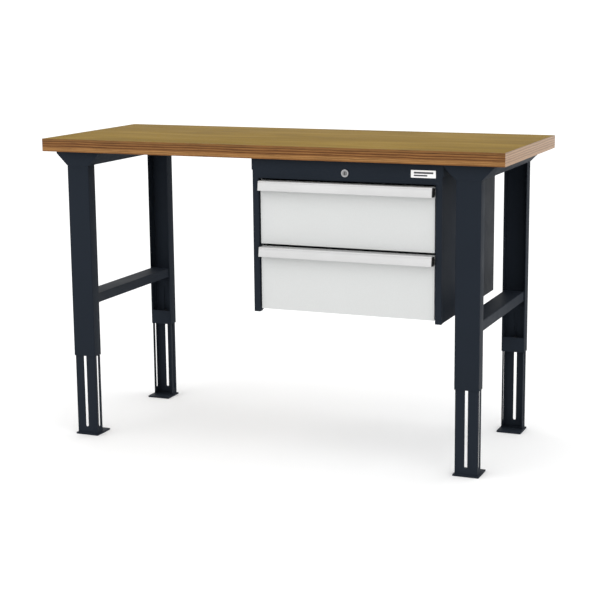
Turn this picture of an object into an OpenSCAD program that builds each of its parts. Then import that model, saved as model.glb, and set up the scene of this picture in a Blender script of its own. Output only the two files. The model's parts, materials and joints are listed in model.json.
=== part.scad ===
// Height-adjustable steel workbench with a plywood top and a hanging cabinet of two drawers.
// Millimetres, X to the right along the front, Y to the back, Z up.
// The origin is on the floor, under the middle of the worktop.

/* [Worktop] */
// Width of the worktop
top_w = 1500; // [1450:10:1800]
// Depth of the worktop
top_d = 600; // [600:10:700]
// Thickness of the worktop
top_t = 40; // [30:1:50]
// Height of the worktop's upper face
bench_h = 960; // [930:5:990]

/* [Stand] */
// Width of an upright, across the front
leg_w = 75; // [70:1:80]
// Depth of an upright, front to back
leg_d = 40; // [40:1:50]
// Gap from the worktop's end to the upright
leg_inset = 75; // [70:1:80]
// Distance of the front uprights behind the worktop's front edge
front_set = 22; // [20:1:30]
// Distance of the rear uprights in front of the worktop's back edge
rear_set = 10; // [5:1:20]
// Sheet thickness of the stand
stand_sheet = 2; // [1.5:0.5:2]
// Height of the top rails
rail_h = 44; // [42:1:48]
// How far a top rail spreads past the upright on each side
rail_flare = 37; // [34:1:37]
// Height of the crossbar's upper face above the floor
crossbar_z = 462; // [440:1:500]
// Height of the crossbar
crossbar_h = 30; // [25:1:40]
// Width of the crossbar
crossbar_w = 66; // [60:1:66]

/* [Feet] */
// Length of foot leg that shows below the uprights
foot_reach = 262; // [240:1:270]
// How far a foot leg can still be pulled out
foot_out = 90; // [50:5:90]
// Width of the adjusting slots
slot_w = 9; // [8.6:0.2:10]
// Height of the slots' lower end above the floor
slot_z = 26; // [24:1:40]
// Side of the square foot plate
foot_plate_w = 80; // [78:1:90]
// Thickness of the foot plate
foot_plate_t = 5; // [3:1:6]

/* [Cabinet] */
// Middle of the cabinet, to the right of the worktop's middle
cabinet_x = 262.5; // [200:0.5:262.5]
// Width over the cabinet's sides
cabinet_w = 594; // [560:2:594]
// Height of the cabinet, down from the worktop
cabinet_h = 468; // [466:1:480]
// Sheet thickness of the cabinet
cabinet_sheet = 1.5; // [1:0.5:1.5]
// Height of the panel above the drawers
fascia_h = 60; // [58:1:62]
// Width of the posts beside the drawers
post_w = 19; // [18:1:22]

/* [Drawers] */
// Height of a drawer front
front_h = 192; // [180:1:192]
// Height from one drawer to the next
drawer_pitch = 200; // [198:1:202]
// Gap between a drawer front and the posts
front_gap = 4; // [3:0.5:5]
// How far the drawer fronts sit behind the cabinet's front
front_recess = 6; // [4:1:8]
// Length of the drawer trays and of their runners
tray_l = 500; // [450:10:500]
// Height of the tray walls
tray_h = 150; // [120:5:150]
// How far the grip stands out from a drawer front
grip_out = 27.5; // [24:0.5:28]
// Height of the grip
grip_h = 29; // [24:1:32]

/* [Hidden] */
$fn = 48;

// Small amount by which cutters run past a face
over = 1;
// Gap between sheets that lie against each other, and round a pin in its hole
lay_gap = 0.1;
pin_gap = 0.05;
// Clearance of a bolt or screw in a plain hole
hole_gap = 0.5;

// Colours of the finishes
anthracite = [0.20, 0.22, 0.25];
light_grey = [0.86, 0.87, 0.86];
plywood = [0.68, 0.56, 0.36];
raw_aluminium = [0.88, 0.88, 0.87];
zinc = [0.65, 0.66, 0.68];
black_zinc = [0.12, 0.12, 0.13];
black_plastic = [0.05, 0.05, 0.055];

// Places in the stand
top_z = bench_h - top_t;
rail_z = top_z - rail_h;
leg_x = top_w / 2 - leg_inset - leg_w / 2;
front_y = -top_d / 2 + front_set;
rear_y = top_d / 2 - rear_set;
bend = 3;

// Foot legs and their clamps, in a leg's own frame: Y runs inwards from the web's outer face
foot_gap = 0.5;
foot_w = leg_w - 2 * (stand_sheet + foot_gap);
foot_d = leg_d - 4;
foot_y = stand_sheet + foot_gap;
stud_r = 4;
stud_out = 2;
stud_z = [foot_reach + 12, foot_reach + 36];
slot_top = stud_z[1] + foot_out + slot_w / 2 + hole_gap;
foot_top = slot_top + 22;
flange_slot_y = foot_y + foot_d / 2 + 1;
bridge_y = foot_y + foot_d + 2 * lay_gap;
bridge_t = 3;
bridge_w = leg_w - 2 * (stand_sheet + lay_gap);
bridge_h = 48;
nut_y = foot_y + stand_sheet + lay_gap;
nut_h = 8;
nut_flat_w = 13;
nut_flange_r = 8.9;
nut_flange_t = 1.5;
foot_plate_lead = 1.5;
foot_plate_r = 2;

// Inward lips along a top rail's underside
rail_lip = 15;

// Crossbar ends: a welded plate that sits just between the upright's flanges
bar_plate_t = 3;
bar_plate_in = 0.8;
bar_plate_w = leg_w - 2 * stand_sheet - 2 * lay_gap;

// Worktop screws
screw_r = 3;
screw_tip = 2;
screw_tip_r = 0.5;
screw_head_r = 6;
screw_head_h = 3.5;
screw_bite = 25;
rail_screw_y = [-210, -70, 70, 210];
hanger_screw_y = [-220, 0, 220];

// Places in the cabinet, in the cabinet's own frame: X from its middle, Z from the floor
half_w = cabinet_w / 2;
cabinet_z = top_z - cabinet_h;
inside_half = half_w - cabinet_sheet - lay_gap;
hanger_t = 3;
hanger_h = 36;
hanger_in = 38;
hanger_w = half_w + hanger_t;
hanger_screw_x = hanger_w - hanger_in + 10;
side_top = top_z - hanger_t;
open_half = half_w - post_w;
return_d = 20;
fold = 15;
top_fold = 12;
access_r = 8;
tie_y = front_y + 68;
tie_d = 60;

// Ball runners stand inside the opening, so that their members can pass it
runner_t = 12.7;
runner_h = 45;
runner_x = open_half - 1;
tray_half = runner_x - runner_t;
member_sheet = 1.2;
member_bend = 1.8;
outer_member_d = 10;
middle_member_x = 3.4;
middle_member_d = 8;
middle_member_h = runner_h - 7.6;
inner_member_d = 6.6;
inner_member_h = runner_h - 14.8;
post_y = [front_y + 43, rear_y - 65];
post_l = 30;
post_bend = 2.5;
post_lift = 3;

// Drawers
face_y = front_y + front_recess;
front_half = open_half - front_gap;
front_t = 18;
front_sheet = 1.2;
front_corner = 1;
front_drop = 6.5;
tray_y = face_y + front_t;
tray_sheet = 1.2;
tray_rim = 8;
tray_lift = 14;
runner_lift = 38;
drawer_z = [for (n = [0:1]) top_z - fascia_h - front_drop - front_h - n * drawer_pitch];

// Grip section, drawn with X out from the drawer front and Y down from its top edge as negative values
grip_t = 2.2;
grip_reach = 24;
grip_bend = 4;
grip_flare = atan((grip_out - grip_reach) / grip_h);
grip_corner = [grip_reach - grip_bend, -grip_bend];
grip_tip = [grip_out - grip_t / 2, -grip_h + grip_t / 2];
grip_root_r = grip_t / 2;
grip_root = [grip_t + grip_root_r, -grip_t - grip_root_r];
grip_foot = -grip_h + 2;
cap_out = 2;
cap_in = 8;
cap_back = 0.3;
cap_r = 6;

grip_half = front_half - cap_out;

// Lock and label
lock_z = top_z - 36;
lock_r = 11.5;
lock_ring_t = 3;
lock_body_r = 9.4;
lock_body_l = 26;
lock_nut_flat_w = 24;
lock_nut_t = 4;
plug_r = 6.5;
plug_out = 4;
plug_end = 28;
key_slot = [1.8, 9, 8];
cam_w = 12;
cam_l = 22;
cam_t = 2;
label_size = [75, 22, 0.6];
label_corner = 1.5;
label_z = top_z - 30;

// ---------- shared shapes ----------

// Rectangle about the origin with rounded corners
module round_rect(w, h, r) {
    square([w - 2 * r, h], center = true);
    square([w, h - 2 * r], center = true);
    for (x = [-1, 1], y = [-1, 1])
        translate([x * (w / 2 - r), y * (h / 2 - r)]) circle(r = r);
}

// Section of a folded sheet channel: web along X at the bottom, flanges up to d
module channel_section(w, d, t, r) {
    difference() {
        intersection() {
            translate([0, d]) round_rect(w, 2 * d, r);
            translate([-w / 2, 0]) square([w, d]);
        }
        translate([0, d]) round_rect(w - 2 * t, 2 * d - 2 * t, r - t + 2 * lay_gap);
    }
}

// Upright slot with round ends, through Y, from z0 to z1
module slot_through(w, z0, z1, depth) {
    for (z = [z0 + w / 2, z1 - w / 2])
        translate([0, 0, z]) rotate([-90, 0, 0]) cylinder(d = w, h = depth);
    translate([-w / 2, 0, z0 + w / 2]) cube([w, depth, z1 - z0 - w]);
}

// Puts a shape at one of the four legs; side is -1 left or 1 right, end is -1 front or 1 rear
module at_leg(side, end) {
    translate([side * leg_x, end < 0 ? front_y : rear_y, 0])
        mirror([0, end < 0 ? 0 : 1, 0]) children();
}

// Round bar along +Y from y0 to y1
module bar_y(r, y0, y1) {
    translate([0, y0, 0]) rotate([-90, 0, 0]) cylinder(r = r, h = y1 - y0);
}

// ---------- stand ----------

module pilot_hole() {
    cylinder(r = screw_r + pin_gap, h = screw_bite + 2 * over);
}

module worktop() {
    color(plywood) difference() {
        translate([-top_w / 2, -top_d / 2, top_z]) cube([top_w, top_d, top_t]);
        for (side = [-1, 1], y = rail_screw_y)
            translate([side * leg_x, y, top_z - over]) pilot_hole();
        for (side = [-1, 1], y = hanger_screw_y)
            translate([cabinet_x + side * hanger_screw_x, y, top_z - over]) pilot_hole();
    }
}

// Half width of a top rail at height z, less an inset
function rail_half(z, inset) = leg_w / 2 + min(z, rail_flare) - inset;

// Outline drawn up its right side and down its mirrored left side
module both_sides(right) {
    count = len(right);
    polygon(concat(right, [for (i = [count - 1:-1:0]) [-right[i].x, right[i].y]]));
}

// Folded rail: flat top, slanted sides, inward lips below, closed at both ends
module rail(side) {
    t = stand_sheet;
    slant = t * sqrt(2);
    knee = rail_flare + slant - t;
    length = rear_y - front_y;
    color(anthracite) translate([side * leg_x, front_y, rail_z]) difference() {
        translate([0, length, 0]) rotate([90, 0, 0]) linear_extrude(length)
            both_sides([
                [rail_half(0, 0), 0],
                [rail_half(rail_flare, 0), rail_flare],
                [rail_half(rail_flare, 0), rail_h]
            ]);
        translate([0, length - t, 0]) rotate([90, 0, 0]) linear_extrude(length - 2 * t)
            both_sides([
                [rail_half(t, slant), t],
                [rail_half(rail_flare, t), knee],
                [rail_half(rail_flare, t), rail_h - t]
            ]);
        translate([-leg_w / 2 + rail_lip, t, -over])
            cube([leg_w - 2 * rail_lip, length - 2 * t, t + 2 * over]);
        for (y = rail_screw_y)
            translate([0, y - front_y, rail_h - t - over]) cylinder(r = screw_r + hole_gap, h = t + 2 * over);
    }
}

module upright(side, end) {
    color(anthracite) at_leg(side, end) translate([0, 0, foot_reach])
        linear_extrude(rail_z - foot_reach) channel_section(leg_w, leg_d, stand_sheet, bend);
}

// Channel with its back up, between welded end plates
module crossbar(side) {
    y0 = front_y + leg_d - bar_plate_in;
    y1 = rear_y - leg_d + bar_plate_in;
    color(anthracite) translate([side * leg_x, 0, crossbar_z]) {
        translate([0, y1 - bar_plate_t / 2, 0]) rotate([90, 0, 0]) linear_extrude(y1 - y0 - bar_plate_t)
            mirror([0, 1]) channel_section(crossbar_w, crossbar_h, stand_sheet, bend);
        for (y = [y0, y1 - bar_plate_t])
            translate([-bar_plate_w / 2, y, -crossbar_h]) cube([bar_plate_w, bar_plate_t, crossbar_h]);
    }
}

// Foot leg: a channel that slides in the upright, slotted in its web and in both flanges
module foot_leg(side, end) {
    color(anthracite) at_leg(side, end) difference() {
        translate([0, foot_y, foot_plate_t]) linear_extrude(foot_top - foot_plate_t)
            channel_section(foot_w, foot_d, stand_sheet, bend);
        translate([0, foot_y - over, 0]) slot_through(slot_w, slot_z, slot_top, stand_sheet + 2 * over);
        translate([-foot_w / 2 - over, flange_slot_y, 0]) rotate([0, 0, -90])
            slot_through(slot_w, slot_z, slot_top, foot_w + 2 * over);
    }
}

module foot_plate(side, end) {
    color(anthracite) at_leg(side, end)
        translate([0, foot_plate_w / 2 - foot_plate_lead, 0])
            linear_extrude(foot_plate_t) round_rect(foot_plate_w, foot_plate_w, foot_plate_r);
}

// Plate welded between an upright's flanges, which keeps the foot leg in and covers the nuts
module bridge_plate(side, end) {
    color(anthracite) at_leg(side, end)
        translate([-bridge_w / 2, bridge_y, foot_reach]) cube([bridge_w, bridge_t, bridge_h]);
}

// Studs welded to the inside of the uprights' webs
module clamp_studs() {
    color(black_zinc) for (side = [-1, 1], end = [-1, 1], z = stud_z)
        at_leg(side, end) translate([0, 0, z])
            bar_y(stud_r, stand_sheet, nut_y + nut_h + stud_out);
}

// Flange nuts on the studs, which clamp the foot leg's web against the upright's
module clamp_nuts() {
    color(black_zinc) for (side = [-1, 1], end = [-1, 1], z = stud_z)
        at_leg(side, end) translate([0, nut_y, z]) difference() {
            union() {
                bar_y(nut_flange_r, 0, nut_flange_t);
                rotate([-90, 0, 0]) cylinder(d = nut_flat_w / cos(30), h = nut_h, $fn = 6);
            }
            bar_y(stud_r + pin_gap, -over, nut_h + over);
        }
}

// Pan-head wood screw that points up, its head under z = 0
module wood_screw(grip) {
    translate([0, 0, -screw_head_h]) cylinder(r = screw_head_r, h = screw_head_h);
    cylinder(r = screw_r, h = grip + screw_bite - screw_tip);
    translate([0, 0, grip + screw_bite - screw_tip]) cylinder(r1 = screw_r, r2 = screw_tip_r, h = screw_tip);
}

module worktop_screws() {
    color(zinc) for (side = [-1, 1], y = rail_screw_y)
        translate([side * leg_x, y, top_z - stand_sheet]) wood_screw(stand_sheet);
}

// ---------- cabinet ----------

// Welded frame round the drawers: fascia and two posts with folded returns
module cabinet_front_frame() {
    t = cabinet_sheet;
    open_z = top_z - fascia_h;
    color(anthracite) translate([cabinet_x, front_y, 0]) difference() {
        union() {
            translate([-half_w, 0, cabinet_z]) cube([cabinet_w, t, cabinet_h]);
            translate([-hanger_w, 0, top_z - hanger_h]) cube([2 * hanger_w, t, hanger_h]);
            translate([-open_half - t, 0, cabinet_z])
                cube([2 * (open_half + t), return_d, open_z + t - cabinet_z]);
            for (x = [-half_w, open_half])
                translate([x, 0, cabinet_z]) cube([post_w, fold, t]);
        }
        translate([-open_half, -over, cabinet_z - over])
            cube([2 * open_half, return_d + 2 * over, open_z - cabinet_z + over]);
        translate([0, 0, lock_z]) bar_y(lock_body_r + lay_gap, -over, t + over);
    }
}

// Side sheet with folds along its bottom, back and top
module cabinet_side(side) {
    t = cabinet_sheet;
    y0 = front_y + t + lay_gap;
    length = rear_y - y0;
    base = cabinet_z + t + lay_gap;
    fold_y = front_y + fold + 2 * lay_gap;
    color(anthracite) translate([cabinet_x, 0, 0]) mirror([side < 0 ? 0 : 1, 0, 0]) {
        translate([-half_w, y0, base]) cube([t, length, side_top - base]);
        translate([-half_w, fold_y, base]) cube([fold, rear_y - fold_y, t]);
        translate([-half_w, rear_y - t, base]) cube([fold, t, side_top - base]);
        translate([-half_w, y0, side_top - t]) cube([top_fold, length, t]);
    }
}

module cabinet_back() {
    t = cabinet_sheet;
    base = cabinet_z + 2 * (t + lay_gap);
    color(anthracite) translate([cabinet_x - inside_half, rear_y - 2 * t, base])
        cube([2 * inside_half, t, side_top - 2 * t - lay_gap - base]);
}

module cabinet_top() {
    t = cabinet_sheet;
    color(anthracite) difference() {
        translate([cabinet_x - inside_half, front_y + t + lay_gap, side_top - 2 * t])
            cube([2 * inside_half, rear_y - front_y - 2 * t - lay_gap, t]);
        for (side = [-1, 1], y = hanger_screw_y)
            translate([cabinet_x + side * hanger_screw_x, y, side_top - 2 * t - over])
                cylinder(r = access_r, h = t + 2 * over);
    }
}

// Strip that ties the two sides together under the drawers
module cabinet_tie() {
    t = cabinet_sheet;
    color(anthracite) translate([cabinet_x - inside_half, tie_y, cabinet_z + 2 * t + lay_gap])
        cube([2 * inside_half, tie_d, t]);
}

// Angle that hooks over the cabinet's side and is screwed up into the worktop
module hanger(side) {
    y0 = front_y + cabinet_sheet + lay_gap;
    length = rear_y - y0;
    color(anthracite) translate([cabinet_x, 0, 0]) mirror([side < 0 ? 0 : 1, 0, 0]) difference() {
        union() {
            translate([-hanger_w, y0, top_z - hanger_h]) cube([hanger_t, length, hanger_h]);
            translate([-hanger_w, y0, top_z - hanger_t]) cube([hanger_in, length, hanger_t]);
        }
        for (y = hanger_screw_y)
            translate([-hanger_screw_x, y, top_z - hanger_t - over])
                cylinder(r = screw_r + hole_gap, h = hanger_t + 2 * over);
    }
}

module hanger_screws() {
    color(zinc) for (side = [-1, 1], y = hanger_screw_y)
        translate([cabinet_x + side * hanger_screw_x, y, top_z - hanger_t]) wood_screw(hanger_t);
}

// Upright channels that carry the runners, one near the front and one near the back
module runner_posts(side) {
    depth = half_w - cabinet_sheet - runner_x;
    base = cabinet_z + 2 * cabinet_sheet + post_lift;
    color(zinc) translate([cabinet_x, 0, 0]) mirror([side < 0 ? 0 : 1, 0, 0])
        for (y = post_y)
            translate([-runner_x, y, base]) linear_extrude(side_top - 2 * cabinet_sheet - post_lift - base)
                rotate(90) channel_section(post_l, depth, cabinet_sheet, post_bend);
}

// ---------- drawers ----------

// Puts a runner section, drawn with X from the mounting plane to the drawer and Y up, at a drawer's side
module at_runner(number, side) {
    translate([cabinet_x, tray_y, drawer_z[number - 1] + tray_lift + runner_lift])
        mirror([side < 0 ? 0 : 1, 0, 0]) translate([-runner_x, tray_l, 0])
            rotate([90, 0, 0]) linear_extrude(tray_l) children();
}

// One folded runner member: its web starts at x0, and its flanges, h apart, reach d
module runner_section(x0, d, h) {
    translate([x0, 0]) rotate(-90) channel_section(h, d, member_sheet, member_bend);
}

module outer_runner(number, side) {
    color(zinc) at_runner(number, side) runner_section(0, outer_member_d, runner_h);
}

module middle_runner(number, side) {
    color(zinc) at_runner(number, side)
        runner_section(middle_member_x, middle_member_d, middle_member_h);
}

module inner_runner(number, side) {
    color(zinc) at_runner(number, side)
        translate([runner_t, 0]) mirror([1, 0]) runner_section(0, inner_member_d, inner_member_h);
}

// Folded pan, open at the back
module drawer_front(number) {
    t = front_sheet;
    color(light_grey) translate([cabinet_x, face_y, drawer_z[number - 1]]) difference() {
        translate([0, 0, front_h / 2]) rotate([-90, 0, 0]) linear_extrude(front_t)
            round_rect(2 * front_half, front_h, front_corner);
        translate([-front_half + t, t, t]) cube([2 * (front_half - t), front_t, front_h - 2 * t]);
    }
}

// Points of an arc about c, from angle a0 to a1
function arc(c, r, a0, a1, steps) =
    [for (i = [0:steps]) let (a = a0 + (a1 - a0) * i / steps) c + r * [cos(a), sin(a)]];

// Extruded grip: a leg down the drawer front, a flat top, and a face that hangs in front
module grip_section() {
    polygon(concat(
        [[0, 0]],
        arc(grip_corner, grip_bend, 90, grip_flare, 8),
        arc(grip_tip, grip_t / 2, grip_flare, grip_flare - 180, 10),
        arc(grip_corner, grip_bend - grip_t, grip_flare, 90, 6),
        arc(grip_root, grip_root_r, 90, 180, 4),
        [[grip_t, grip_foot], [0, grip_foot]]
    ));
}

// Front edge of the hollow behind the grip's face, from top to bottom, less a gap
function grip_hollow_front(gap) = concat(
    arc(grip_corner, grip_bend - grip_t - gap, 90, grip_flare, 6),
    [grip_tip - (grip_t / 2 + gap) * [cos(grip_flare), sin(grip_flare)]]
);

module drawer_handle(number) {
    color(raw_aluminium)
        translate([cabinet_x - grip_half, face_y, drawer_z[number - 1] + front_h])
            rotate([90, 0, -90]) mirror([0, 0, 1]) linear_extrude(2 * grip_half) grip_section();
}

// End caps of a grip: a rounded cheek outside the end, and a plug in the hollow
module handle_caps(number) {
    cheek = concat(
        arc([cap_back + cap_r, -grip_h + cap_r], cap_r, 270, 180, 8),
        arc([cap_back + cap_r, -grip_t - cap_r], cap_r, 180, 90, 8),
        grip_hollow_front(0)
    );
    plug = concat(
        [[grip_t + lay_gap, grip_foot], [grip_t + lay_gap, grip_root.y], [grip_root.x, -grip_t - lay_gap]],
        grip_hollow_front(lay_gap)
    );
    color(black_plastic) for (side = [-1, 1])
        translate([cabinet_x, face_y, drawer_z[number - 1] + front_h])
            mirror([side < 0 ? 0 : 1, 0, 0]) translate([-grip_half, 0, 0])
                rotate([90, 0, -90]) mirror([0, 0, 1]) {
                    translate([0, 0, -cap_out]) linear_extrude(cap_out) polygon(cheek);
                    linear_extrude(cap_in) polygon(plug);
                }
}

// Tray of folded sheet with a narrow rim turned in along the top
module drawer_tray(number) {
    t = tray_sheet;
    rim = tray_rim;
    z = drawer_z[number - 1] + tray_lift;
    color(light_grey) translate([cabinet_x - tray_half, tray_y, z]) difference() {
        cube([2 * tray_half, tray_l, tray_h]);
        translate([t, t, t]) cube([2 * (tray_half - t), tray_l - 2 * t, tray_h - 2 * t]);
        translate([rim, rim, tray_h - t - over])
            cube([2 * (tray_half - rim), tray_l - 2 * rim, t + 2 * over]);
    }
}

// ---------- lock and label ----------

module lock_barrel() {
    color(zinc) translate([cabinet_x, front_y, lock_z]) difference() {
        union() {
            bar_y(lock_r, -lock_ring_t, 0);
            bar_y(lock_body_r, -over, lock_body_l);
        }
        bar_y(plug_r + lay_gap, -lock_ring_t - over, lock_body_l + over);
    }
}

module lock_nut() {
    color(zinc) translate([cabinet_x, front_y + cabinet_sheet, lock_z]) difference() {
        rotate([-90, 0, 0]) cylinder(d = lock_nut_flat_w / cos(30), h = lock_nut_t, $fn = 6);
        bar_y(lock_body_r + pin_gap, -over, lock_nut_t + over);
    }
}

// Turning core with a key slot in its face
module lock_plug() {
    color(zinc) translate([cabinet_x, front_y, lock_z]) difference() {
        bar_y(plug_r, -plug_out, plug_end);
        translate([-key_slot.x / 2, -plug_out - over, -key_slot.z / 2]) cube(key_slot);
    }
}

// Flat cam on the back of the core
module lock_cam() {
    color(zinc) translate([cabinet_x, front_y + plug_end, lock_z]) {
        bar_y(cam_w / 2, 0, cam_t);
        translate([0, 0, -cam_w / 2]) cube([cam_l, cam_t, cam_w]);
    }
}

module label() {
    color("white") translate([cabinet_x + open_half - label_size.x / 2, front_y, label_z])
        rotate([90, 0, 0]) linear_extrude(label_size.z) round_rect(label_size.x, label_size.y, label_corner);
}

// ---------- the nodes ----------

worktop();
rail(-1);  // rail_left
rail(1);  // rail_right
upright(-1, -1);  // upright_front_left
upright(1, -1);  // upright_front_right
upright(-1, 1);  // upright_rear_left
upright(1, 1);  // upright_rear_right
crossbar(-1);  // crossbar_left
crossbar(1);  // crossbar_right
foot_leg(-1, -1);  // foot_leg_front_left
foot_leg(1, -1);  // foot_leg_front_right
foot_leg(-1, 1);  // foot_leg_rear_left
foot_leg(1, 1);  // foot_leg_rear_right
foot_plate(-1, -1);  // foot_plate_front_left
foot_plate(1, -1);  // foot_plate_front_right
foot_plate(-1, 1);  // foot_plate_rear_left
foot_plate(1, 1);  // foot_plate_rear_right
bridge_plate(-1, -1);  // bridge_plate_front_left
bridge_plate(1, -1);  // bridge_plate_front_right
bridge_plate(-1, 1);  // bridge_plate_rear_left
bridge_plate(1, 1);  // bridge_plate_rear_right
clamp_studs();
clamp_nuts();
worktop_screws();
cabinet_front_frame();
cabinet_side(-1);  // cabinet_side_left
cabinet_side(1);  // cabinet_side_right
cabinet_back();
cabinet_top();
cabinet_tie();
hanger(-1);  // hanger_left
hanger(1);  // hanger_right
hanger_screws();
runner_posts(-1);  // runner_posts_left
runner_posts(1);  // runner_posts_right
drawer_front(1);  // drawer_1_front
drawer_handle(1);  // drawer_1_handle
handle_caps(1);  // drawer_1_handle_caps
drawer_tray(1);  // drawer_1_tray
outer_runner(1, -1);  // drawer_1_outer_runner_left
outer_runner(1, 1);  // drawer_1_outer_runner_right
middle_runner(1, -1);  // drawer_1_middle_runner_left
middle_runner(1, 1);  // drawer_1_middle_runner_right
inner_runner(1, -1);  // drawer_1_inner_runner_left
inner_runner(1, 1);  // drawer_1_inner_runner_right
drawer_front(2);  // drawer_2_front
drawer_handle(2);  // drawer_2_handle
handle_caps(2);  // drawer_2_handle_caps
drawer_tray(2);  // drawer_2_tray
outer_runner(2, -1);  // drawer_2_outer_runner_left
outer_runner(2, 1);  // drawer_2_outer_runner_right
middle_runner(2, -1);  // drawer_2_middle_runner_left
middle_runner(2, 1);  // drawer_2_middle_runner_right
inner_runner(2, -1);  // drawer_2_inner_runner_left
inner_runner(2, 1);  // drawer_2_inner_runner_right
lock_barrel();
lock_nut();
lock_plug();
lock_cam();
label();
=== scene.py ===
# %% [markdown]
# # A height-adjustable workbench with a hanging drawer cabinet
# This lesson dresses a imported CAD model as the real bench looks: a beech plywood top on a stand of
# folded, powder-coated sheet, with a cabinet of light grey drawers under its right half. The CAD
# model already says where every piece is, so the lesson only makes surfaces, edges and small
# details. It starts by loading that model as a fixed frame and noting its size.

# %% Load the frame
import json
import math
import random

import bpy
from mathutils import Matrix, Vector


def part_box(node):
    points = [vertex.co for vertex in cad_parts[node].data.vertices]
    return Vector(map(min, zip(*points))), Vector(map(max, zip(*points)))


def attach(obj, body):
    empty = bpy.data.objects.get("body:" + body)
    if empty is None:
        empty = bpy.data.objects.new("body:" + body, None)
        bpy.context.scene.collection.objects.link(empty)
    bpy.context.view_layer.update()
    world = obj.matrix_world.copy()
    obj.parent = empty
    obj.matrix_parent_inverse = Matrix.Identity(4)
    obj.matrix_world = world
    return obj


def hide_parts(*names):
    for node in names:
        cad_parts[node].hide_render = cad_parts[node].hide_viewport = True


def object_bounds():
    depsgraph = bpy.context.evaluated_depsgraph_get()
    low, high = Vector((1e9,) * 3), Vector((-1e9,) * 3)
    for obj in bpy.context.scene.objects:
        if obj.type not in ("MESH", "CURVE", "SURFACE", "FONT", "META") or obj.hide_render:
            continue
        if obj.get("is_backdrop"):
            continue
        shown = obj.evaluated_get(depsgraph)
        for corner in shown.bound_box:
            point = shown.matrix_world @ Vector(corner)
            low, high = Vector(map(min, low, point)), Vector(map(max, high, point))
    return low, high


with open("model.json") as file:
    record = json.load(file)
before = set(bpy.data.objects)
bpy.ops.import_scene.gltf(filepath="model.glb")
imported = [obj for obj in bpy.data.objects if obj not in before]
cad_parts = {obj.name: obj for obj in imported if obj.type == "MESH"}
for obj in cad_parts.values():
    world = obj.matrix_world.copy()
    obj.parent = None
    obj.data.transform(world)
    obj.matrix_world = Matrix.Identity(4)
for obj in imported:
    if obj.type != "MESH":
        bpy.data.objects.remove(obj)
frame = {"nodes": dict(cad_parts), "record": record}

cad_low, cad_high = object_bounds()
MM = 0.001
print("frame size in metres:", [round(v, 3) for v in cad_high - cad_low])

# %% [markdown]
# ## The camera
# The bench is seen from its right-hand end at a little above table height, through a long lens, so
# that the uprights stay nearly parallel. The camera turns left and dips, and its small shift moves
# the bench in the frame without turning the lens away.

# %% Place the camera
camera_place = Vector((1.834, -4.377, 1.3785))
camera_turn = math.radians(21.69)
camera_dip = math.radians(10.63)
camera_roll = math.radians(-0.37)
far_enough = 100

camera_data = bpy.data.cameras.new("studio_camera")
camera_data.lens = 90.4
camera_data.sensor_width = 36
camera_data.shift_x = -0.045
camera_data.shift_y = -0.0265
camera_data.clip_end = far_enough
camera = bpy.data.objects.new("studio_camera", camera_data)
bpy.context.scene.collection.objects.link(camera)
aim = Matrix.Rotation(camera_turn, 4, "Z") @ Matrix.Rotation(math.pi / 2 - camera_dip, 4, "X")
camera.matrix_world = Matrix.Translation(camera_place) @ aim @ Matrix.Rotation(camera_roll, 4, "Z")
bpy.context.scene.camera = camera
print("camera is", round((camera_place - (cad_low + cad_high) / 2).length, 2), "m from the bench")

# %% [markdown]
# ## Working by hand, in code
# Blender's operators act on whatever is selected, and the loaded frame is selected when it arrives.
# These helpers clear the selection, make one piece active, and pick faces or edges by where they
# are, which is what a person does with the mouse.

# %% Selection helpers
def clear_selection():
    if bpy.context.object and bpy.context.object.mode != "OBJECT":
        bpy.ops.object.mode_set(mode="OBJECT")
    bpy.ops.object.select_all(action="DESELECT")


def select_only(piece):
    clear_selection()
    piece.select_set(True)
    bpy.context.view_layer.objects.active = piece


def edit(piece):
    select_only(piece)
    bpy.ops.object.mode_set(mode="EDIT")
    bpy.ops.mesh.select_all(action="SELECT")


def leave_edit():
    bpy.ops.object.mode_set(mode="OBJECT")


def pick(piece, kind, test):
    """In edit mode, selects the vertices, edges or faces of the active piece that pass a test."""
    bpy.ops.mesh.select_mode(type=kind)
    bpy.ops.mesh.select_all(action="DESELECT")
    bpy.ops.object.mode_set(mode="OBJECT")
    mesh = piece.data
    parts = {"VERT": mesh.vertices, "EDGE": mesh.edges, "FACE": mesh.polygons}[kind]
    for part in parts:
        part.select = bool(test(part))
    bpy.ops.object.mode_set(mode="EDIT")


def edge_middle(piece, an_edge):
    ends = [piece.data.vertices[i].co for i in an_edge.vertices]
    return (ends[0] + ends[1]) / 2


print("selected on arrival:", len(bpy.context.selected_objects))

# %% [markdown]
# A finished piece keeps its object at the origin with its place in its mesh, gets its modifiers
# applied, and is shaded smooth except across true corners.

# %% Finishing helpers
SMOOTH_ANGLE = math.radians(32)
CORNER_ANGLE = math.radians(30)


def apply_modifier(piece, kind, **settings):
    select_only(piece)
    modifier = piece.modifiers.new(kind.lower(), kind)
    for key, value in settings.items():
        setattr(modifier, key, value)
    bpy.ops.object.modifier_apply(modifier=modifier.name)


def round_edges(piece, width):
    apply_modifier(
        piece, "BEVEL", width=width, segments=2, limit_method="ANGLE",
        angle_limit=CORNER_ANGLE, use_clamp_overlap=True, miter_outer="MITER_ARC",
    )


def finish_piece(piece, material, body, nodes=()):
    select_only(piece)
    bpy.ops.object.transform_apply(location=True, rotation=True, scale=True)
    bpy.ops.object.shade_smooth_by_angle(angle=SMOOTH_ANGLE)
    if material:
        piece.data.materials.clear()
        piece.data.materials.append(material)
    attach(piece, body)
    if nodes:
        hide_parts(*nodes)
    return piece


def named(piece_name):
    piece = bpy.context.active_object
    piece.name = piece_name
    piece.data.name = piece_name
    return piece


print("shaded smooth up to", round(math.degrees(SMOOTH_ANGLE)), "degrees")

# %% [markdown]
# ## Building materials from nodes
# Each finish is a small network: a pattern in the piece's own coordinates drives colour, roughness
# and bump. A helper keeps every network readable, because each node is then one statement with its
# settings and what feeds it.

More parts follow.
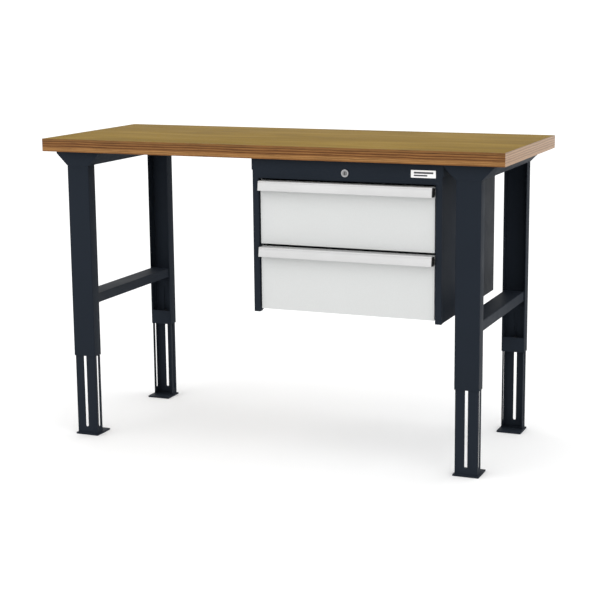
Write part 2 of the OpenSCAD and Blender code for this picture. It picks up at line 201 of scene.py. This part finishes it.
# %% Node helpers
def new_material(material_name, roughness=0.5, metallic=0.0):
    material = bpy.data.materials.new(material_name)
    material.use_nodes = True
    tree = material.node_tree
    tree.nodes.clear()
    shader = tree.nodes.new("ShaderNodeBsdfPrincipled")
    shader.inputs["Roughness"].default_value = roughness
    shader.inputs["Metallic"].default_value = metallic
    output = tree.nodes.new("ShaderNodeOutputMaterial")
    tree.links.new(shader.outputs["BSDF"], output.inputs["Surface"])
    return material, shader


def node(material, kind, feeds=None, **settings):
    made = material.node_tree.nodes.new("ShaderNode" + kind)
    for key, value in settings.items():
        setattr(made, key, value)
    for key, value in (feeds or {}).items():
        if isinstance(value, bpy.types.NodeSocket):
            material.node_tree.links.new(value, made.inputs[key])
        else:
            made.inputs[key].default_value = value
    return made


def place_of(material, stretch=(1, 1, 1)):
    """Object coordinates in metres, stretched so that a pattern runs along the piece."""
    spot = node(material, "TexCoord").outputs["Object"]
    return node(material, "Mapping", {"Vector": spot, "Scale": stretch}).outputs["Vector"]


def noise(material, vector, scale, detail=2.0, roughness=0.5, distortion=0.0):
    feeds = {
        "Vector": vector, "Scale": scale, "Detail": detail, "Roughness": roughness,
        "Distortion": distortion,
    }
    return node(material, "TexNoise", feeds).outputs["Fac"]


def ramp(material, factor, stops, interpolation="LINEAR"):
    made = node(material, "ValToRGB", {"Fac": factor})
    made.color_ramp.interpolation = interpolation
    elements = made.color_ramp.elements
    while len(elements) < len(stops):
        elements.new(0.5)
    for element, (position, colour) in zip(elements, stops):
        element.position = position
        element.color = (*colour, 1)
    return made.outputs["Color"]


# A Mix node has sockets for every kind of value under the same names, so these go by number.
MIX_FACTOR, MIX_FIRST, MIX_SECOND, MIX_RESULT = 0, 6, 7, 2


def blend_colours(material, factor, first, second, mode="MIX"):
    made = node(material, "Mix", data_type="RGBA", blend_type=mode)
    for key, value in ((MIX_FACTOR, factor), (MIX_FIRST, first), (MIX_SECOND, second)):
        if isinstance(value, bpy.types.NodeSocket):
            material.node_tree.links.new(value, made.inputs[key])
        else:
            made.inputs[key].default_value = value if key == MIX_FACTOR else (*value, 1)
    return made.outputs[MIX_RESULT]


# Most of a noise pattern lies between these two values.
NOISE_LOW, NOISE_HIGH = 0.3, 0.7


def spread(material, value, low, high):
    feeds = {
        "Value": value, "From Min": NOISE_LOW, "From Max": NOISE_HIGH, "To Min": low, "To Max": high,
    }
    return node(material, "MapRange", feeds).outputs["Result"]


def connect(material, shader, **sockets):
    for key, value in sockets.items():
        material.node_tree.links.new(value, shader.inputs[key.replace("_", " ")])


def bump(material, height, distance):
    feeds = {"Height": height, "Distance": distance, "Strength": 1.0}
    return node(material, "Bump", feeds).outputs["Normal"]


print("materials that came with the frame:", len(bpy.data.materials))

# %% [markdown]
# ## Powder coat
# Sheet steel is sprayed with dry powder and baked. The film flows a little but keeps a fine
# pebbled skin about a millimetre across, which breaks up highlights. A fine noise gives that skin,
# and a broad one varies the colour and the sheen where the film is thicker.

# %% Make the powder coats
film_clouds = 9
pebble_height = 0.03 * MM


def powder_coat(material_name, colour, sheen_low, sheen_high, shine, pebble=900, tone=0.06):
    material, shader = new_material(material_name)
    shader.inputs["Specular IOR Level"].default_value = shine
    where = place_of(material)
    fine = noise(material, where, pebble, detail=2)
    broad = noise(material, where, film_clouds, detail=2)
    lighter = tuple(min(1, c * (1 + tone)) for c in colour)
    darker = tuple(c * (1 - tone) for c in colour)
    mottled = blend_colours(material, broad, darker, lighter)
    speck = ramp(material, fine, [(0.35, (0.93, 0.93, 0.93)), (0.65, (1, 1, 1))])
    connect(material, shader, Base_Color=blend_colours(material, 0.6, mottled, speck, "MULTIPLY"))
    connect(material, shader, Roughness=spread(material, broad, sheen_low, sheen_high))
    connect(material, shader, Normal=bump(material, fine, pebble_height))
    return material


anthracite = powder_coat(
    "anthracite_powder_coat", (0.0150, 0.0195, 0.0270), 0.50, 0.60, shine=0.035,
)
light_grey = powder_coat(
    "light_grey_powder_coat", (0.60, 0.61, 0.605), 0.36, 0.44, shine=0.3, pebble=700, tone=0.012,
)
print("powder coats:", anthracite.name, light_grey.name)

# %% [markdown]
# ## Metals
# Zinc plating is a bright skin with cloudy grey patches. Anodised aluminium keeps fine lines
# along the bar from the extrusion die, and its oxide skin makes it paler and less like a mirror
# than bare metal. The lock is satin nickel, duller on the plug, where keys have rubbed it.

# %% Make the metals
even = (1, 1, 1)
along_x = (0.02, 1, 1)
line_scale = 300


def plated(material_name, dark, light, low, high, cloud=40, stretch=even, lines=0.0, metallic=1.0):
    material, shader = new_material(material_name, metallic=metallic)
    cloudy = noise(material, place_of(material), cloud, detail=4, roughness=0.6)
    drawn = noise(material, place_of(material, stretch), line_scale, detail=3)
    colour = ramp(material, cloudy, [(0.3, dark), (0.7, light)])
    streaks = ramp(material, drawn, [(0.3, (1 - lines,) * 3), (0.7, (1, 1, 1))])
    connect(material, shader, Base_Color=blend_colours(material, 1.0, colour, streaks, "MULTIPLY"))
    connect(material, shader, Roughness=spread(material, drawn, low, high))
    connect(material, shader, Normal=bump(material, drawn, 0.01 * MM))
    return material


zinc = plated("bright_zinc_plate", (0.46, 0.47, 0.49), (0.56, 0.57, 0.60), 0.30, 0.42)
black_zinc = plated("black_zinc_plate", (0.02, 0.02, 0.022), (0.05, 0.05, 0.054), 0.35, 0.5)
nickel = plated(
    "satin_nickel", (0.30, 0.30, 0.305), (0.44, 0.44, 0.445), 0.28, 0.40, cloud=260, lines=0.12,
)
worn_nickel = plated(
    "worn_nickel", (0.12, 0.12, 0.12), (0.30, 0.30, 0.30), 0.34, 0.5, cloud=420, lines=0.2,
)
aluminium = plated(
    "satin_anodised_aluminium", (0.55, 0.55, 0.55), (0.60, 0.60, 0.60), 0.36, 0.46,
    cloud=6, stretch=along_x, lines=0.03, metallic=0.35,
)
print("metals:", zinc.name, black_zinc.name, nickel.name, worn_nickel.name, aluminium.name)

# %% [markdown]
# ## Plastic and print
# The grips' end caps are cast in a mould whose walls are etched by sparks, which leaves a fine
# grain. The label's film and its ink have the same kind of skin, only smoother, so one helper makes
# all three.

# %% Make the plastics and the ink
spark_grain = 1500
roughness_change = 0.06


def moulded(material_name, colour, roughness):
    material, shader = new_material(material_name)
    grain = noise(material, place_of(material), spark_grain, detail=2)
    pale = tuple(c * 1.25 for c in colour)
    sheen = spread(material, grain, roughness - roughness_change, roughness + roughness_change)
    connect(material, shader, Base_Color=blend_colours(material, grain, colour, pale))
    connect(material, shader, Roughness=sheen)
    connect(material, shader, Normal=bump(material, grain, 0.02 * MM))
    return material


black_plastic = moulded("black_cap_plastic", (0.004, 0.004, 0.0045), 0.6)
label_film = moulded("white_label_film", (0.75, 0.75, 0.75), 0.35)
label_ink = moulded("dark_grey_ink", (0.03, 0.03, 0.035), 0.4)
print("materials so far:", len(bpy.data.materials))

# %% [markdown]
# ## Beech plywood
# The top is many thin beech veneers glued crosswise. Its face shows one veneer: long soft streaks
# along the bench, tiny dark flecks, and an olive tan from the oil. Its long edges show the veneers
# as stripes, alternately side grain and end grain, and its short edges show the other half of
# them. So three materials share the same wood but lay it differently.

# %% Make the face of the wood
oil_stops = [(0.3, (0.165, 0.104, 0.020)), (0.5, (0.204, 0.130, 0.024)), (0.7, (0.253, 0.166, 0.036))]
streak_stops = [(0.25, (0.82, 0.80, 0.74)), (0.5, (0.97, 0.96, 0.95)), (0.8, (1.06, 1.05, 1.04))]
fleck_stops = [(0.30, (0.78, 0.74, 0.68)), (0.42, (1, 1, 1))]
cloud_stretch = (0.8, 3.2, 3.0)
streak_stretch = (1.2, 26, 26)
fleck_stretch = (60, 900, 900)


def beech_face():
    material, shader = new_material("oiled_beech_face")
    shader.inputs["Specular IOR Level"].default_value = 0.03
    clouds = noise(
        material, place_of(material, cloud_stretch), 2.6, detail=4, roughness=0.6, distortion=0.8,
    )
    streaks = noise(
        material, place_of(material, streak_stretch), 3.0, detail=5, roughness=0.62, distortion=0.3,
    )
    flecks = noise(material, place_of(material, fleck_stretch), 1.6, detail=2)
    base = ramp(material, clouds, oil_stops)
    grain = ramp(material, streaks, streak_stops)
    fleck = ramp(material, flecks, fleck_stops)
    streaked = blend_colours(material, 1.0, base, grain, "MULTIPLY")
    wood = blend_colours(material, 1.0, streaked, fleck, "MULTIPLY")
    connect(material, shader, Base_Color=wood)
    connect(material, shader, Roughness=spread(material, streaks, 0.60, 0.74))
    connect(material, shader, Normal=bump(material, streaks, 0.08 * MM))
    return material


face_wood = beech_face()
print("face of the wood:", face_wood.name)

# %% [markdown]
# The stripes of an edge are places in height, so a colour ramp over the board's thickness holds
# one tone for each veneer. A little noise bends the stripes, and finer noise drawn out along the
# edge gives each veneer its own grain.

# %% Make the edges of the wood
board_low, board_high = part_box("worktop")
board_t = board_high.z - board_low.z
ply_wander = 5 * MM
wander_scale = 7
grain_scale = 60


def beech_edge(material_name, tones, stretch, glue):
    material, shader = new_material(material_name)
    shader.inputs["Specular IOR Level"].default_value = 0.15
    spot = node(material, "TexCoord").outputs["Object"]
    height = node(material, "SeparateXYZ", {"Vector": spot}).outputs["Z"]
    wave = noise(material, place_of(material, (1, 1, 6)), wander_scale, detail=3)
    swing = {0: wave, 1: ply_wander, 2: -ply_wander / 2}
    bend = node(material, "Math", swing, operation="MULTIPLY_ADD").outputs[0]
    bent = node(material, "Math", {0: height, 1: bend}, operation="ADD").outputs[0]
    feeds = {"Value": bent, "From Min": board_low.z, "From Max": board_high.z}
    level = node(material, "MapRange", feeds).outputs["Result"]
    stops = [(i / len(tones), tone) for i, tone in enumerate(tones)]
    stripes = ramp(material, level, stops, "CONSTANT")
    drawn_out = place_of(material, stretch)
    long_grain = noise(
        material, drawn_out, grain_scale, detail=5, roughness=0.7, distortion=0.2,
    )
    glue_tone = (glue, glue * 0.94, glue * 0.88)
    grain = ramp(material, long_grain, [(0.34, glue_tone), (0.52, (1, 1, 1)), (0.75, (1.16,) * 3)])
    connect(material, shader, Base_Color=blend_colours(material, 1.0, stripes, grain, "MULTIPLY"))
    connect(material, shader, Roughness=spread(material, long_grain, 0.5, 0.68))
    connect(material, shader, Normal=bump(material, long_grain, 0.06 * MM))
    return material


pale_veneer = (0.334, 0.169, 0.056)
tan_veneer = (0.244, 0.112, 0.034)
mid_veneer = (0.205, 0.087, 0.025)
dark_veneer = (0.098, 0.036, 0.009)
top_veneer = (0.188, 0.092, 0.028)
long_tones = [
    mid_veneer, tan_veneer, pale_veneer, tan_veneer, pale_veneer, tan_veneer, mid_veneer, dark_veneer,
    tan_veneer, mid_veneer, dark_veneer, mid_veneer, tan_veneer, dark_veneer, top_veneer, mid_veneer,
    top_veneer,
]
end_light = (0.42, 0.29, 0.20)
end_mid = (0.36, 0.245, 0.165)
end_dark = (0.25, 0.18, 0.135)
end_tones = [
    end_mid, end_light, end_mid, end_light, end_dark, end_mid, end_light, end_dark, end_mid,
    end_light, end_dark, end_light, end_light, end_dark, end_mid, end_light, end_dark,
]
long_edge_wood = beech_edge("beech_long_edge", long_tones, (0.25, 0.25, 11), glue=0.46)
end_edge_wood = beech_edge("beech_short_edge", end_tones, (0.4, 0.4, 12), glue=0.86)
print("plies:", len(long_tones), "of", round(board_t / len(long_tones) / MM, 2), "mm")

# %% [markdown]
# ## The worktop
# A board could be one box, but its plies swell by different amounts, so the edge of a real one is
# never dead flat. It is built up as it is glued up: a thin plate, extruded once for each veneer,
# with every second veneer a tenth of a millimetre further in. The arrises are rounded by hand
# sanding, so the first and last steps follow a small arc.

# %% Build the worktop ply by ply
arris = 1.2 * MM
arris_rings = 4
ply_step = 0.1 * MM
ply_t = board_t / len(long_tones)


def arris_steps(count):
    """Height and inset of each ring on the rounded arris, from the face inwards."""
    turns = [i * math.pi / 2 / count for i in range(count + 1)]
    return [(arris * (1 - math.cos(t)), arris * (1 - math.sin(t))) for t in turns]


rings = [(board_low.z + rise, inset) for rise, inset in arris_steps(arris_rings)]
for layer in range(1, len(long_tones)):
    inset = ply_step * (layer % 2)
    rings.append((board_low.z + layer * ply_t, ply_step - inset))
    rings.append((board_low.z + layer * ply_t, inset))
rings += [(board_high.z - rise, inset) for rise, inset in reversed(arris_steps(arris_rings))]

board_size = board_high - board_low
board_middle = (board_low + board_high) / 2


def board_scale(inset):
    return Vector((1 - 2 * inset / board_size.x, 1 - 2 * inset / board_size.y, 1))


clear_selection()
bpy.ops.mesh.primitive_plane_add(size=1, location=(board_middle.x, board_middle.y, rings[0][0]))
worktop = named("worktop_board")
worktop.scale = (board_size.x * board_scale(arris).x, board_size.y * board_scale(arris).y, 1)
bpy.ops.object.transform_apply(location=True, rotation=True, scale=True)
edit(worktop)
bpy.ops.mesh.flip_normals()
bpy.ops.mesh.bevel(affect="VERTICES", offset=arris, segments=3)
bpy.ops.mesh.select_all(action="SELECT")
for (z0, inset0), (z1, inset1) in zip(rings, rings[1:]):
    bpy.ops.mesh.extrude_region_move(TRANSFORM_OT_translate={"value": (0, 0, z1 - z0)})
    factor = Vector(a / b for a, b in zip(board_scale(inset1), board_scale(inset0)))
    bpy.ops.transform.resize(value=factor, center_override=(board_middle.x, board_middle.y, z1))
bpy.ops.mesh.select_all(action="SELECT")
bpy.ops.mesh.normals_make_consistent(inside=False)
leave_edit()
print("worktop faces:", len(worktop.data.polygons))

# %% [markdown]
# Three woods now go on one piece. Blender keeps a list of materials with the piece and a number on
# each face, so the faces are sorted by where they look: the two large ones take the face wood, and
# the narrow ones take the long or the short edge.

# %% Give each side of the board its own wood
finish_piece(worktop, face_wood, "frame", ["worktop"])
worktop.data.materials.append(long_edge_wood)
worktop.data.materials.append(end_edge_wood)
FACE, LONG_EDGE, END_EDGE = 0, 1, 2
lies_flat = 0.7
whole_side = 0.1
for face in worktop.data.polygons:
    if abs(face.normal.z) > lies_flat and face.area > whole_side:
        face.material_index = FACE
    elif abs(face.normal.x) > abs(face.normal.y):
        face.material_index = END_EDGE
    else:
        face.material_index = LONG_EDGE
print("worktop finishes:", [m.name for m in worktop.data.materials])

# %% [markdown]
# ## The folded sheet
# Uprights, rails, feet and cabinet are sheet steel cut by laser and folded. The CAD nodes have the
# right shape, but their cut edges are perfectly sharp, and no coated edge is: the powder rounds it
# and it catches a thin line of light. So each node is copied, its loose triangles are merged into
# clean faces, and every corner gets a small bevel.

# %% Soften a CAD node's edges
same_point = 0.01 * MM
same_plane = math.radians(0.3)


def clean_copy(source_node, copy_name):
    """A copy of a CAD node with its loose triangles merged into clean faces, left in edit mode."""
    piece = bpy.data.objects.new(copy_name, frame["nodes"][source_node].data.copy())
    bpy.context.scene.collection.objects.link(piece)
    edit(piece)
    bpy.ops.mesh.remove_doubles(threshold=same_point)
    bpy.ops.mesh.dissolve_limited(angle_limit=same_plane)
    return piece


def softened(source_node, material, body, width):
    piece = clean_copy(source_node, source_node + "_finished")
    leave_edit()
    round_edges(piece, width)
    return finish_piece(piece, material, body, [source_node])


bodies = frame["record"]["behaviour"]["bodies"]
body_of_node = {n: body for body, members in bodies.items() for n in members}
slot_of_node = {row["node"]: row["material_slot"] for row in frame["record"]["subparts"]}
finish_of_slot = {
    "anthracite_steel": (anthracite, 0.35 * MM),
    "light_grey_steel": (light_grey, 0.3 * MM),
    "grip_aluminium": (aluminium, 0.3 * MM),
    "black_plastic": (black_plastic, 0.3 * MM),
    "zinc_steel": (zinc, 0.2 * MM),
    "black_fastener": (black_zinc, 0.3 * MM),
    "lock_chrome": (nickel, 0.4 * MM),
}
made_apart = {
    "worktop", "label", "drawer_1_handle", "drawer_2_handle", "worktop_screws", "hanger_screws",
}
for each in sorted(set(body_of_node) - made_apart):
    material, width = finish_of_slot[slot_of_node[each]]
    softened(each, material, body_of_node[each], width)
print("softened nodes:", len(body_of_node) - len(made_apart))

# %% [markdown]
# ## The keyway
# The plug of a cylinder lock is bright, and its key slot is a deep narrow hole. The faces inside the
# slot get black plastic as painted shade, picked by their place behind the plug's face.

# %% Paint shade into the key slot
plug = bpy.data.objects["lock_plug_finished"]
plug_low, plug_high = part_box("lock_plug")
plug_middle = (plug_low + plug_high) / 2
slot_half_w = 1.2 * MM
slot_half_h = 4.3 * MM
slot_mouth = 0.1 * MM
slot_end = 6 * MM
PAINTED_SLOT_SHADE = 1
plug.data.materials[0] = worn_nickel
# The black plastic on the slot's inner faces is painted shade for the deep hole.
plug.data.materials.append(black_plastic)
painted_slot_shade_faces = 0
for face in plug.data.polygons:
    across = abs(face.center.x - plug_middle.x)
    up = abs(face.center.z - plug_middle.z)
    depth = face.center.y - plug_low.y
    if across < slot_half_w and up < slot_half_h and slot_mouth < depth < slot_end:
        face.material_index = PAINTED_SLOT_SHADE
        painted_slot_shade_faces += 1
print("dark faces in the key slot:", painted_slot_shade_faces)

# %% [markdown]
# ## Cross recesses
# The top and the hanger angles are held by wood screws driven from below. Each head has a cross
# recess, cut here by two thin blades, as the punch does when the head is formed cold. Half of a
# blade's height stands clear of the head. Every screw stops at its own turn, so each cross gets its
# own angle, drawn from one seeded list so that it is the same each time.

# %% Cut a cross into every screw head
recess_l = 5.0 * MM
recess_w = 1.2 * MM
recess_d = 1.6 * MM
hand_draws = random.Random(12)


def loose_parts(source_node):
    clean_copy(source_node, source_node + "_copy")
    bpy.ops.mesh.select_all(action="SELECT")
    bpy.ops.mesh.separate(type="LOOSE")
    leave_edit()
    return list(bpy.context.selected_objects)


def mesh_bounds(piece):
    spots = [v.co for v in piece.data.vertices]
    low = Vector(min(spot[i] for spot in spots) for i in range(3))
    high = Vector(max(spot[i] for spot in spots) for i in range(3))
    return low, high


def cut_recess(piece):
    low, high = mesh_bounds(piece)
    spin_by = hand_draws.uniform(0, math.pi / 2)
    for quarter in (0, 1):
        turned = (0, 0, spin_by + quarter * math.pi / 2)
        place = ((low.x + high.x) / 2, (low.y + high.y) / 2, low.z)
        clear_selection()
        bpy.ops.mesh.primitive_cube_add(size=1, location=place, rotation=turned)
        blade = bpy.context.active_object
        blade.scale = (recess_l, recess_w, recess_d * 2)
        bpy.ops.object.transform_apply(location=True, rotation=True, scale=True)
        apply_modifier(piece, "BOOLEAN", operation="DIFFERENCE", object=blade, solver="EXACT")
        bpy.data.objects.remove(blade, do_unlink=True)


def by_place(part):
    return tuple(round(v, 3) for v in mesh_bounds(part)[0])


fine_edge = 0.25 * MM
for screws in ("worktop_screws", "hanger_screws"):
    parts = sorted(loose_parts(screws), key=by_place)
    for count, screw in enumerate(parts):
        screw.name = f"{screws[:-1]}_{count + 1}"
        screw.data.name = screw.name
        round_edges(screw, fine_edge)
        cut_recess(screw)
        finish_piece(screw, zinc, "frame", [screws] if count == 0 else ())
    print(screws, "cut:", len(parts))

# %% [markdown]
# ## The grips
# A drawer is pulled by an aluminium extrusion that covers the whole top edge of its front: a leg
# that is riveted to the front, a flat top, and a face that hangs down before it with room for the
# fingers behind. The section is drawn as one strip of sheet: each extrusion moves the last edge
# on, the spin turns it over the rounded corner, and a shallow groove under that corner hides the
# meeting of top and face. Solidify then gives the strip the wall of the extrusion.

# %% Draw a grip's section and give it its wall
grip_wall = 2.2 * MM
grip_corner_r = 4 * MM
grip_reach = 24 * MM
groove_w = 2.0 * MM
groove_d = 1.0 * MM
groove_lip = 0.4 * MM
drop_spare = 0.3 * MM
leg_spare = 2 * MM
hair = 0.1 * MM


def make_grip(number):
    low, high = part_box(f"drawer_{number}_handle")
    out = high.y - low.y
    drop = high.z - low.z - drop_spare
    lean = math.atan((out - grip_reach) / drop)
    clear_selection()
    bpy.ops.mesh.primitive_plane_add(size=1, rotation=(math.pi / 2, 0, 0))
    grip = named(f"drawer_{number}_grip")
    leg = drop - leg_spare
    grip.scale = (high.x - low.x, leg, 1)
    grip.location = ((low.x + high.x) / 2, high.y, high.z - leg / 2)
    bpy.ops.object.transform_apply(location=True, rotation=True, scale=True)
    edit(grip)
    pick(grip, "EDGE", lambda e: edge_middle(grip, e).z > high.z - hair)

    def draw_on(forward, down):
        bpy.ops.mesh.extrude_region_move(TRANSFORM_OT_translate={"value": (0, -forward, -down)})

    draw_on(grip_reach - grip_corner_r, 0)
    centre = (0, high.y - grip_reach + grip_corner_r, high.z - grip_corner_r)
    bpy.ops.mesh.spin(steps=8, angle=lean - math.pi / 2, center=centre, axis=(1, 0, 0))
    along = Vector((math.sin(lean), math.cos(lean)))
    across = Vector((-math.cos(lean), math.sin(lean)))
    for step in (along * groove_lip, across * groove_d, along * groove_w, -across * groove_d):
        draw_on(step.x, step.y)
    done = grip_corner_r * (1 - math.sin(lean)) + (groove_lip + groove_w) * along.y
    draw_on(*(along * ((drop - done) / along.y)))
    bpy.ops.mesh.select_all(action="SELECT")
    bpy.ops.mesh.normals_make_consistent(inside=False)
    leave_edit()
    top_faces = [f for f in grip.data.polygons if abs(f.normal.z) > 0.99]
    if top_faces[0].normal.z < 0:
        edit(grip)
        bpy.ops.mesh.flip_normals()
        leave_edit()
    apply_modifier(grip, "SOLIDIFY", thickness=grip_wall, offset=-1, use_even_offset=True)
    round_edges(grip, fine_edge)
    replaced = [f"drawer_{number}_handle"]
    return finish_piece(grip, aluminium, f"drawer_{number}", replaced)


for number in (1, 2):
    grip = make_grip(number)
    print(grip.name, "is", round(grip.dimensions.x / MM, 1), "mm long")

# %% [markdown]
# ## Weld beads
# The foot plates, the bridge plates and the crossbars' end plates are joined by arc welds, and the
# powder coat does not hide them: a weld is a row of overlapping scales, each as long as the wire
# moved between two pulses. A bead is grown the same way, by extruding a small disc a step at a
# time while it swells and shrinks.

# %% Grow a weld bead between two points
bead_r = 1.5 * MM
scale_length = 1.6 * MM
scale_swell = 1.22
end_swell = 1.45
hand_wobble = 0.03


def weld_bead(bead_name, start, end, body):
    start, end = Vector(start), Vector(end)
    run = end - start
    steps = max(4, round(run.length / scale_length))
    turn = run.to_track_quat("Z", "Y").to_euler()
    clear_selection()
    bpy.ops.mesh.primitive_circle_add(
        vertices=8, radius=bead_r * 0.7, fill_type="NGON", location=start, rotation=turn,
    )
    bead = named(bead_name)
    bpy.ops.object.transform_apply(location=True, rotation=True, scale=True)
    edit(bead)
    for step in range(steps):
        swell = scale_swell if step % 2 == 0 else 1 / scale_swell
        if step in (0, steps - 1):
            swell = end_swell if step == 0 else 1 / end_swell
        wobble = 1 + hand_draws.uniform(-hand_wobble, hand_wobble)
        bpy.ops.mesh.extrude_region_move(TRANSFORM_OT_translate={"value": run / steps})
        at = start + run * (step + 1) / steps
        bpy.ops.transform.resize(value=(swell * wobble,) * 3, center_override=at)
    bpy.ops.mesh.select_all(action="SELECT")
    bpy.ops.mesh.normals_make_consistent(inside=False)
    leave_edit()
    return finish_piece(bead, anthracite, body)


print("one scale of a bead is", round(scale_length / MM, 1), "mm long")

# %% [markdown]
# The beads run where two pieces meet and a torch can reach: round each foot leg on its plate, down
# both sides of each bridge plate, and across the top of each crossbar's ends. Each stops short of
# the corners, because a weld that runs over a corner burns it away.

# %% Weld the feet, the bridge plates and the crossbars
weld_inset = 4 * MM
weld_lift = 0.3 * MM
bridge_weld_in = 1.4 * MM
bar_weld_inset = 6 * MM
bar_weld_in = 3 * MM
corners = [(end, side) for end in ("front", "rear") for side in ("left", "right")]
for end, side in corners:
    corner = f"{end}_{side}"
    inward = 1 if end == "front" else -1
    leg_low, leg_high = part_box("foot_leg_" + corner)
    web_y = leg_low.y if end == "front" else leg_high.y
    weld_z = leg_low.z + weld_lift
    body = "foot_" + corner
    deep = leg_high.y - leg_low.y - weld_inset
    ends = [(x, web_y, weld_z) for x in (leg_low.x + weld_inset, leg_high.x - weld_inset)]
    weld_bead(f"foot_weld_{corner}_web", *ends, body)
    for label, x in (("low", leg_low.x), ("high", leg_high.x)):
        ends = [(x, web_y + inward * reach, weld_z) for reach in (weld_inset, deep)]
        weld_bead(f"foot_weld_{corner}_{label}", *ends, body)
    plate_low, plate_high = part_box("bridge_plate_" + corner)
    edge_y = plate_high.y if end == "front" else plate_low.y
    y = edge_y - inward * bridge_weld_in
    for label, x in (("low", plate_low.x), ("high", plate_high.x)):
        ends = [(x, y, plate_low.z + weld_inset), (x, y, plate_high.z - weld_inset)]
        weld_bead(f"bridge_weld_{corner}_{label}", *ends, "frame")
for side in ("left", "right"):
    bar_low, bar_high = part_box("crossbar_" + side)
    for label, y, inward in (("front", bar_low.y, 1), ("rear", bar_high.y, -1)):
        x_ends = [bar_low.x + bar_weld_inset, bar_high.x - bar_weld_inset]
        at_y = y + inward * bar_weld_in
        ends = [(x, at_y, bar_high.z) for x in x_ends]
        weld_bead(f"crossbar_weld_{side}_{label}", *ends, "frame")

# %% [markdown]
# ## The label
# A small film label sits on the panel above the drawers. It is drawn as a thin plate with rounded
# corners, and its print is only two plain bars, each a slightly raised film of ink.

# %% Make the label and its bars
label_low, label_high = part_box("label")
corner_share = 0.49
edge_share = 0.2


def thin_plate(piece_name, low, high, corner, material, replaced=()):
    """A flat plate standing across Y, with rounded corners and softened edges."""
    size = high - low
    middle = (low + high) / 2
    clear_selection()
    bpy.ops.mesh.primitive_cube_add(size=1, location=middle)
    plate = named(piece_name)
    plate.scale = size
    bpy.ops.object.transform_apply(location=True, rotation=True, scale=True)
    edit(plate)

    def at_corner(an_edge):
        spot = edge_middle(plate, an_edge) - middle
        return abs(spot.x) > corner_share * size.x and abs(spot.z) > corner_share * size.z

    pick(plate, "EDGE", at_corner)
    bpy.ops.mesh.bevel(offset=corner, segments=5)
    leave_edit()
    round_edges(plate, min(size.y, size.z) * edge_share)
    return finish_piece(plate, material, "frame", replaced)


label_size = label_high - label_low
label_corner = 1.5 * MM
bar_corner = 0.6 * MM
ink_t = 0.05 * MM
# Each bar's start and end along the label, its foot above the label's, and its own height, all as
# shares of the label's length and height.
bars = [(0.12, 0.90, 0.54, 0.24), (0.12, 0.66, 0.20, 0.20)]
thin_plate("label_plate", label_low, label_high, label_corner, label_film, ["label"])
for number, (start, end, rise, thick) in enumerate(bars):
    foot_z = label_low.z + rise * label_size.z
    head_z = foot_z + thick * label_size.z
    low = Vector((label_low.x + start * label_size.x, label_low.y - ink_t, foot_z))
    high = Vector((label_low.x + end * label_size.x, label_low.y + ink_t, head_z))
    thin_plate(f"label_bar_{number + 1}", low, high, bar_corner, label_ink)
print("label:", [round(v / MM, 1) for v in label_size], "mm")

# %% [markdown]
# ## The studio
# The floor is one wide pale disc, so the bench stands on nothing but its own soft shadow. It runs
# far past the bench on every side, and its paint changes tone a little, as any real floor does.

# %% Lay the floor
floor_r = 40
clear_selection()
bpy.ops.mesh.primitive_circle_add(vertices=96, radius=floor_r, fill_type="NGON")
floor = named("studio_floor")
floor_paint, floor_shader = new_material("pale_floor_paint", roughness=0.9)
floor_tone = noise(floor_paint, place_of(floor_paint), 1.5, detail=2)
floor_colour = blend_colours(floor_paint, floor_tone, (0.90, 0.90, 0.90), (0.92, 0.92, 0.92))
connect(floor_paint, floor_shader, Base_Color=floor_colour)
floor_shader.inputs["Specular IOR Level"].default_value = 0.0
floor.data.materials.append(floor_paint)
floor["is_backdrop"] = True
print("floor radius in metres:", floor_r)

# %% [markdown]
# A white sky lights the bench evenly and fills the shadows, as a white tent would. One broad softbox
# overhead adds a little direction, which models the top and the grips.

# %% Light the bench
sky_strength = 1.30
softbox_place = (0.3, -0.8, 3.4)
softbox_w = 4.0
softbox_d = 3.0
softbox_watts = 18
world = bpy.data.worlds.new("white_studio")
bpy.context.scene.world = world
world.use_nodes = True
sky = world.node_tree.nodes["Background"]
sky.inputs["Color"].default_value = (1, 1, 1, 1)
sky.inputs["Strength"].default_value = sky_strength

softbox_data = bpy.data.lights.new("overhead_softbox", "AREA")
softbox_data.shape = "RECTANGLE"
softbox_data.size = softbox_w
softbox_data.size_y = softbox_d
softbox_data.energy = softbox_watts
softbox = bpy.data.objects.new("overhead_softbox", softbox_data)
bpy.context.scene.collection.objects.link(softbox)
towards_bench = (cad_low + cad_high) / 2 - Vector(softbox_place)
softbox.location = softbox_place
softbox.rotation_euler = towards_bench.to_track_quat("-Z", "Y").to_euler()
bpy.context.scene.view_settings.view_transform = "Standard"
print("softbox:", softbox_w, "by", softbox_d, "m,", softbox_watts, "W")

# %% Write the sizes and finish
low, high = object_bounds()
print("visual size in metres:", [round(v, 4) for v in high - low])
